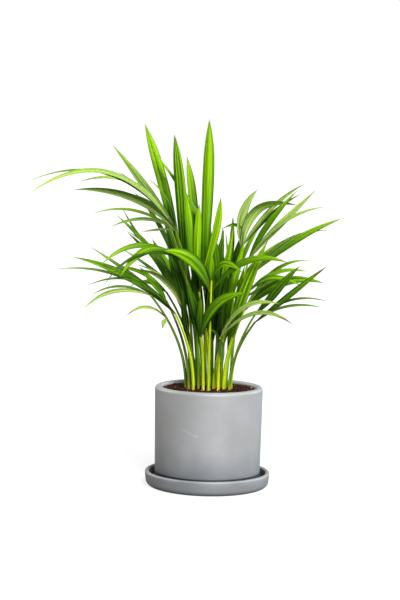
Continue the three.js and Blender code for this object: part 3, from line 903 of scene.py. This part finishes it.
def ceramic(name, rim_height, foot_shade_height, foot_shade_share, moat_shade_radius, moat_shade_top, scuffed):
    material = bpy.data.materials.new(name)
    tree, shader = principled(material)
    effect = use_group(tree, mottling,
                       {"Size": 45 * MM, "Speck Size": 1.6 * MM, "Speck Share": 0.03})
    pits = use_group(tree, mottling,
                     {"Size": 12 * MM, "Speck Size": 2 * MM, "Speck Share": 0.015})
    colour = blend(tree, effect["Clouds"], CLAY_DARK, CLAY_LIGHT)
    colour = blend(tree, times(tree, pits["Clouds"], 0.18), colour, CLAY_LIGHT)
    colour = blend(tree, times(tree, effect["Specks"], GRIT_SHARE), colour, GRIT_DARK)
    colour = blend(tree, times(tree, pits["Specks"], GRIT_SHARE), colour, GRIT_LIGHT)
    x, y, height = node(tree, "SeparateXYZ",
                        {0: node(tree, "TexCoord").outputs["Object"]}).outputs
    # Painted shade: the foot of the wall is darker, fading up to the given height with a wavering
    # edge.
    wander = spread(tree, effect["Clouds"], 0, 1, -FOOT_SHADE_WANDER, FOOT_SHADE_WANDER)
    foot_shade_level = maths(tree, "ADD", height, wander)
    foot_shade = spread(tree, foot_shade_level, FOOT_SHADE_FROM, foot_shade_height, foot_shade_share, 0.0)
    colour = blend(tree, foot_shade, colour, CLAY_FOOT_SHADE)
    # Painted shade: nearly black inside the radius and below the top height, for the saucer's moat
    # and the pot's foot in it.
    out = maths(tree, "SQRT", maths(tree, "ADD", times(tree, x, x), times(tree, y, y)))
    inside = spread(tree, out, moat_shade_radius - MM / 2, moat_shade_radius + MM / 2, 1.0, 0.0)
    moat_shade = spread(tree, height, moat_shade_top - MOAT_SHADE_FADE, moat_shade_top, MOAT_SHADE_SHARE, 0.0)
    colour = blend(tree, times(tree, inside, moat_shade), colour, MOAT_SHADE)
    # Painted highlight: the top of each rim is a shade lighter, in patches.
    rim = spread(tree, height, rim_height - RIM_HIGHLIGHT_FROM, rim_height - MM / 2)
    rim_highlight = times(tree, rim, spread(tree, effect["Grain"], 0.35, 0.65, 0.35, 1.0))
    colour = blend(tree, times(tree, rim_highlight, RIM_HIGHLIGHT_SHARE), colour, CLAY_RIM_HIGHLIGHT)
    if scuffed:
        scuff = scuff_amount(tree, x, y, height, pits["Grain"])
        colour = blend(tree, times(tree, scuff, SCUFF_SHARE), colour, SCUFF)
    relief = maths(tree, "SUBTRACT", effect["Grain"], times(tree, effect["Specks"], 0.6))
    feed(shader, {"Base Color": colour, "Specular IOR Level": 1.0,
                  "Roughness": spread(tree, effect["Clouds"], 0, 1, 0.50, 0.62),
                  "Normal": bump(tree, relief, 0.2 * MM, 0.5)})
    return material


# Each shell has its own heights for the painted foot shade and the painted shade in the moat.
pot.data.materials.append(ceramic("pot_clay", pot_high.z, foot_shade_height=58 * MM, foot_shade_share=0.8,
                                  moat_shade_radius=POT_RADIUS, moat_shade_top=21.2 * MM, scuffed=True))
saucer.data.materials.append(ceramic("saucer_clay", saucer_high.z, foot_shade_height=34 * MM,
                                     foot_shade_share=0.55, moat_shade_radius=SAUCER_INSIDE,
                                     moat_shade_top=19.8 * MM, scuffed=False))
print("ceramic:", pot.data.materials[0].name, saucer.data.materials[0].name)

# %% [markdown]
# ### Soil
# Moist potting soil is nearly black with red-brown fibres. The bed and the loose crumbs share one
# plan: a dark ground, lighter crumbs, and a few specks of bark. The crumbs also read their own
# look, so that each has its own tone and a few are pale grains.

# %% Soil
SOIL_WET = (0.008, 0.003, 0.002)
SOIL_DRY = (0.045, 0.014, 0.007)
BARK = (0.16, 0.060, 0.025)
PALE_GRAIN = (0.42, 0.40, 0.33)


def soil_material(name, loose):
    material = bpy.data.materials.new(name)
    tree, shader = principled(material)
    effect = use_group(tree, mottling,
                       {"Size": 5 * MM, "Speck Size": 2.5 * MM, "Speck Share": 0.10})
    colour = blend(tree, effect["Clouds"], SOIL_WET, SOIL_DRY)
    colour = blend(tree, times(tree, effect["Specks"], 0.6), colour, BARK)
    if loose:
        look = node(tree, "Attribute", attribute_name="look").outputs["Color"]
        tone = node(tree, "SeparateColor", {0: look}).outputs
        colour = blend(tree, times(tree, tone[0], 0.5), colour, SOIL_DRY)
        colour = blend(tree, tone[1], colour, PALE_GRAIN)
    feed(shader, {"Base Color": colour, "Specular IOR Level": 0.08,
                  "Roughness": spread(tree, effect["Grain"], 0.3, 0.7, 0.75, 0.95),
                  "Normal": bump(tree, effect["Grain"], 0.8 * MM)})
    return material


soil.data.materials.append(soil_material("soil_ground", loose=False))
crumbs.data.materials.append(soil_material("soil_loose", loose=True))
print("soil:", soil.data.materials[0].name, crumbs.data.materials[0].name)

# %% [markdown]
# ### Leaves and stalks
# A leaf's upper side is satin green, from dark green in the old leaves to lime in the young ones,
# with a pale midrib, streaks along its fibres and a dry brown tip on some. Painted shade makes the
# leaflets deep in the clump nearly black and every blade darker towards its base, and painted light
# makes each blade a little lighter at its tip. Its underside is paler and greyer. Light passes
# through, so a Translucent shader is mixed with the main one.

# %% Leaf colours
LEAF_DARK = (0.003, 0.022, 0.001)
LEAF_MID = (0.088, 0.245, 0.001)
LEAF_LIME = (0.360, 0.660, 0.002)
LEAF_PALE = (0.66, 0.80, 0.24)
LEAF_RIB = (0.36, 0.60, 0.03)
LEAF_BASE = (0.16, 0.26, 0.004)
LEAF_MARGIN = (0.010, 0.040, 0.001)
TIP_BROWN = (0.22, 0.10, 0.025)
# The dark through-colour also goes to the leaflets painted nearly black as shade.
THROUGH_DARK = (0.16, 0.42, 0.002)
THROUGH_YOUNG = (0.36, 0.74, 0.002)
STREAK_TONES = (-0.28, 0.26)
VEIN_TONES = (-0.24, 0.22)
# Painted shade and light along each blade: darker towards the base, a little lighter at the tip.
ALONG_SHADE_TONES = (-0.60, 0.14)
LEAF_RELIEF = 0.25 * MM
DRY_REACH = 0.14
DRY_LEAST = 0.012
DRY_RAGGED = 0.15


def look_of(tree):
    """The tone, paleness, dryness and seed that each copy was given."""
    attribute = node(tree, "Attribute", attribute_name="look")
    parts = node(tree, "SeparateColor", {0: attribute.outputs["Color"]}).outputs
    return parts[0], parts[1], parts[2], attribute.outputs["Alpha"]


def leaf_material(material, paleness, roughness, see_through):
    """paleness is how far this side goes to the pale colour; see_through the light that passes."""
    tree, shader = principled(material)
    tone, pale, dry, seed = look_of(tree)
    place = node(tree, "Attribute", attribute_name="grain").outputs["Vector"]
    across, _, along = node(tree, "SeparateXYZ", {0: place}).outputs
    across = maths(tree, "ABSOLUTE", across)
    effect = use_group(tree, fibres, {"Grain": place, "Seed": seed, "Across": 3.2})

    streak = spread(tree, effect["Streaks"], 0.2, 0.8, *STREAK_TONES)
    vein = spread(tree, effect["Veins"], 0.25, 0.75, *VEIN_TONES)
    # Painted shade and light: darker towards the blade's base, a little lighter at its tip.
    along_shade = spread(tree, along, 0.0, 0.85, *ALONG_SHADE_TONES)
    shade = maths(tree, "ADD", maths(tree, "ADD", tone, along_shade), maths(tree, "ADD", streak, vein))
    dark_half = spread(tree, shade, 0.0, 0.5)
    light_half = spread(tree, shade, 0.5, 1.0)
    colour = blend(tree, dark_half, LEAF_DARK, LEAF_MID)
    colour = blend(tree, light_half, colour, LEAF_LIME)
    bloom = maths(tree, "ADD", times(tree, pale, 0.55), paleness)
    bloom = times(tree, bloom, spread(tree, effect["Veins"], 0.25, 0.75, 0.1, 1.5))
    colour = blend(tree, bloom, colour, LEAF_PALE)
    rib = spread(tree, across, 0.02, 0.07, 0.5, 0.0)
    colour = blend(tree, rib, colour, LEAF_RIB)
    side_rib = spread(tree, maths(tree, "ABSOLUTE", maths(tree, "SUBTRACT", across, 0.5)),
                      0.02, 0.07, 0.22, 0.0)
    colour = blend(tree, side_rib, colour, LEAF_RIB)
    colour = blend(tree, spread(tree, along, 0.0, 0.07, 0.5, 0.0), colour, LEAF_BASE)
    margin = spread(tree, across, 0.84, 0.98, 0.0, 0.65)
    colour = blend(tree, margin, colour, LEAF_MARGIN)
    ragged = maths(tree, "ADD", along, times(tree, streak, DRY_RAGGED))
    dry_from = maths(tree, "SUBTRACT", 1.0 - DRY_LEAST, times(tree, dry, DRY_REACH))
    tip = maths(tree, "GREATER_THAN", ragged, dry_from)
    colour = blend(tree, times(tree, tip, 0.85), colour, TIP_BROWN)

    feed(shader, {"Base Color": colour, "Specular IOR Level": 0.13,
                  "Roughness": spread(tree, effect["Veins"], 0, 1, roughness, roughness + 0.15),
                  "Normal": bump(tree, effect["Veins"], LEAF_RELIEF, 0.6)})
    glow = blend(tree, spread(tree, tone, 0.0, 1.0), THROUGH_DARK, THROUGH_YOUNG)
    through = node(tree, "BsdfTranslucent", {"Color": glow})
    mixed = node(tree, "MixShader",
                 {0: see_through, 1: shader.outputs[0], 2: through.outputs[0]})
    feed(tree.nodes["Material Output"], {"Surface": mixed.outputs[0]})


leaf_material(bpy.data.materials["leaf_upper"], paleness=0.0, roughness=0.42, see_through=0.26)
leaf_material(bpy.data.materials["leaf_under"], paleness=0.22, roughness=0.5, see_through=0.38)
print("leaf materials made")

# %% Stalks and shoots
STALK_GREY = (0.050, 0.036, 0.014)
STALK_GREEN = (0.15, 0.36, 0.003)
STALK_YELLOW = (0.74, 0.80, 0.010)
STALK_FOOT = (0.42, 0.26, 0.010)
SHOOT_ORANGE = (0.80, 0.36, 0.02)
SHOOT_YELLOW = (0.85, 0.62, 0.05)

stalk_skin = bpy.data.materials["stalk_skin"]
tree, shader = principled(stalk_skin)
tone, pale, dry, seed = look_of(tree)
place = node(tree, "Attribute", attribute_name="grain").outputs["Vector"]
along = node(tree, "SeparateXYZ", {0: place}).outputs[2]
effect = use_group(tree, fibres, {"Grain": place, "Seed": seed, "Across": 1.6})
shade = maths(tree, "ADD", tone, spread(tree, effect["Streaks"], 0.2, 0.8, -0.28, 0.28))
shade = maths(tree, "ADD", shade, spread(tree, seed, 0, 1, -0.34, 0.32))
colour = blend(tree, spread(tree, shade, 0.0, 0.5), STALK_GREY, STALK_GREEN)
colour = blend(tree, spread(tree, shade, 0.5, 1.0), colour, STALK_YELLOW)
colour = blend(tree, spread(tree, along, 0.07, 0.16, 0.45, 0.0), colour, STALK_FOOT)
colour = blend(tree, spread(tree, effect["Veins"], 0, 1, 0.0, 0.35), colour, STALK_GREEN)
feed(shader, {"Base Color": colour, "Specular IOR Level": 0.25,
              "Roughness": spread(tree, effect["Veins"], 0, 1, 0.35, 0.55),
              "Normal": bump(tree, effect["Veins"], 0.3 * MM, 0.6)})

shoot_skin = bpy.data.materials.new("shoot_skin")
tree, shader = principled(shoot_skin)
effect = use_group(tree, mottling, {"Size": 4 * MM, "Speck Size": 1.5 * MM, "Speck Share": 0.1})
feed(shader, {"Base Color": blend(tree, effect["Clouds"], SHOOT_ORANGE, SHOOT_YELLOW),
              "Roughness": spread(tree, effect["Grain"], 0, 1, 0.4, 0.6),
              "Normal": bump(tree, effect["Grain"], 0.3 * MM)})
for shoot in shoots.values():
    shoot.data.materials.append(shoot_skin)
print("stalk and shoot materials made")

# %% [markdown]
# ## Hand the pieces over
# Each piece rides on the object's one body and stands for its imported node.

# %% Ride and replace
hand_over(pot, "ceramic", "pot")
hand_over(saucer, "ceramic", "saucer")
hand_over(soil, "soil", "soil")
hand_over(crumbs, "soil", "soil")
for name, piece in fronds.items():
    hand_over(piece, "leaf", name)
for name, piece in shoots.items():
    hand_over(piece, "shoot", name)

# %% [markdown]
# ## Floor, light and camera
# A wide white floor runs into a white surround, like a studio's paper sweep. The floor is grey to
# the light that bounces off it, so that the shading under the leaves isn't washed out. A soft key
# light in front, a little to the right, shapes the pot. Two weak ones behind light its edges.

# %% Floor
FLOOR_GREY = 0.2
FLOOR_WHITE = 0.95
FLOOR_GLOW = 0.75
FLOOR_SIZE = 400
GLOW_STRENGTH = 1.05

bpy.ops.object.select_all(action="DESELECT")
bpy.ops.mesh.primitive_plane_add(size=FLOOR_SIZE, location=(0, 0, 0))
floor = bpy.context.object
floor.name = "floor"
floor_paint = bpy.data.materials.new("floor_paint")
tree, shader = principled(floor_paint)
seen = node(tree, "LightPath").outputs["Is Camera Ray"]
grey, white = [FLOOR_GREY] * 3, [FLOOR_WHITE] * 3
feed(shader, {"Base Color": blend(tree, seen, grey, white), "Roughness": 1.0,
              "Specular IOR Level": 0.0})
glow = node(tree, "Emission", {"Color": (1, 1, 1, 1), "Strength": GLOW_STRENGTH})
lit = times(tree, seen, FLOOR_GLOW)
mixed = node(tree, "MixShader", {0: lit, 1: shader.outputs[0], 2: glow.outputs[0]})
feed(tree.nodes["Material Output"], {"Surface": mixed.outputs[0]})
floor.data.materials.append(floor_paint)
print("floor", tuple(floor.dimensions))

# %% Light
SURROUND_SEEN = 1.0
SURROUND_LIGHT = 0.14


def soft_sun(name, turn, height, strength, softness, tint=(1, 1, 1)):
    """A soft distant light. turn is its direction round from the front, height above level."""
    lamp = bpy.data.lights.new(name, "SUN")
    lamp.energy = strength
    lamp.angle = math.radians(softness)
    lamp.color = tint
    holder = bpy.data.objects.new(name, lamp)
    bpy.context.collection.objects.link(holder)
    turn, height = math.radians(turn), math.radians(height)
    place = Vector((math.sin(turn), -math.cos(turn), math.tan(height)))
    holder.rotation_euler = place.to_track_quat("Z", "Y").to_euler()


world = bpy.data.worlds.new("surround")
bpy.context.scene.world = world
world.use_nodes = True
tree = world.node_tree
tree.nodes.clear()
seen = node(tree, "LightPath").outputs["Is Camera Ray"]
strength = spread(tree, seen, 0, 1, SURROUND_LIGHT, SURROUND_SEEN)
surround = node(tree, "Background", {"Color": (1, 1, 1, 1), "Strength": strength})
node(tree, "OutputWorld", {"Surface": surround.outputs[0]})
soft_sun("key_light", turn=22, height=37, strength=5.55, softness=30)
soft_sun("right_edge_light", turn=122, height=22, strength=2.0, softness=30, tint=(0.86, 0.94, 1))
soft_sun("left_edge_light", turn=-122, height=28, strength=1.7, softness=30, tint=(1, 0.94, 0.86))
bpy.context.scene.view_settings.view_transform = "Standard"
print("lights:", ", ".join(lamp.name for lamp in bpy.data.lights))

# %% Camera
CAMERA_PLACE = (-0.0144, -2.190, 0.443)
CAMERA_TILT = math.radians(84.96)
CAMERA_ROLL = math.radians(1.2)
CAMERA_LENS = 98.8
CAMERA_SENSOR = 36
camera_data = bpy.data.cameras.new("camera")
camera_data.lens = CAMERA_LENS
camera_data.sensor_width = CAMERA_SENSOR
camera = bpy.data.objects.new("camera", camera_data)
bpy.context.collection.objects.link(camera)
camera.location = CAMERA_PLACE
turn = Matrix.Rotation(CAMERA_TILT, 3, "X") @ Matrix.Rotation(CAMERA_ROLL, 3, "Z")
camera.rotation_euler = turn.to_euler()
bpy.context.scene.camera = camera
print("camera at", CAMERA_PLACE)
